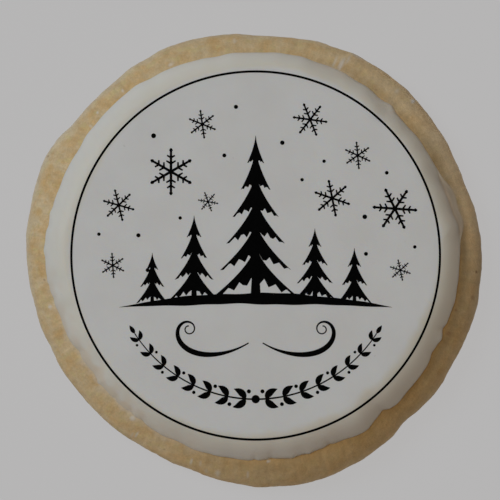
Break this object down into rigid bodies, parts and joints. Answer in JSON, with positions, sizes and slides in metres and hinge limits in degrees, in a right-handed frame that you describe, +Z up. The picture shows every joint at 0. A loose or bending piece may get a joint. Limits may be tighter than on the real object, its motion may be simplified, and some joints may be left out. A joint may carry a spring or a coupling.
{
  "type": "iced sugar cookie",
  "caption": "Round hand-cut sugar cookie with a softly uneven baked rim and a flat layer of white icing that rolls down at its edge.",
  "frame": {"origin": "centre of the bounding box of the cookie's footprint, on the surface it rests on", "axes": "+Z up through the icing's flat top, +X to the right and +Y to the top of the printed design as it is read from above"},
  "size_m": [0.0798, 0.0791, 0.0111],
  "materials": {
    "baked_dough": "matt, pale golden and finely grained",
    "white_icing": "smooth, dull satin",
    "edible_print": "thin, matt, black"
  },
  "bodies": {
    "root": {"cookie": "baked_dough", "icing": "white_icing"}
  },
  "joints": []
}
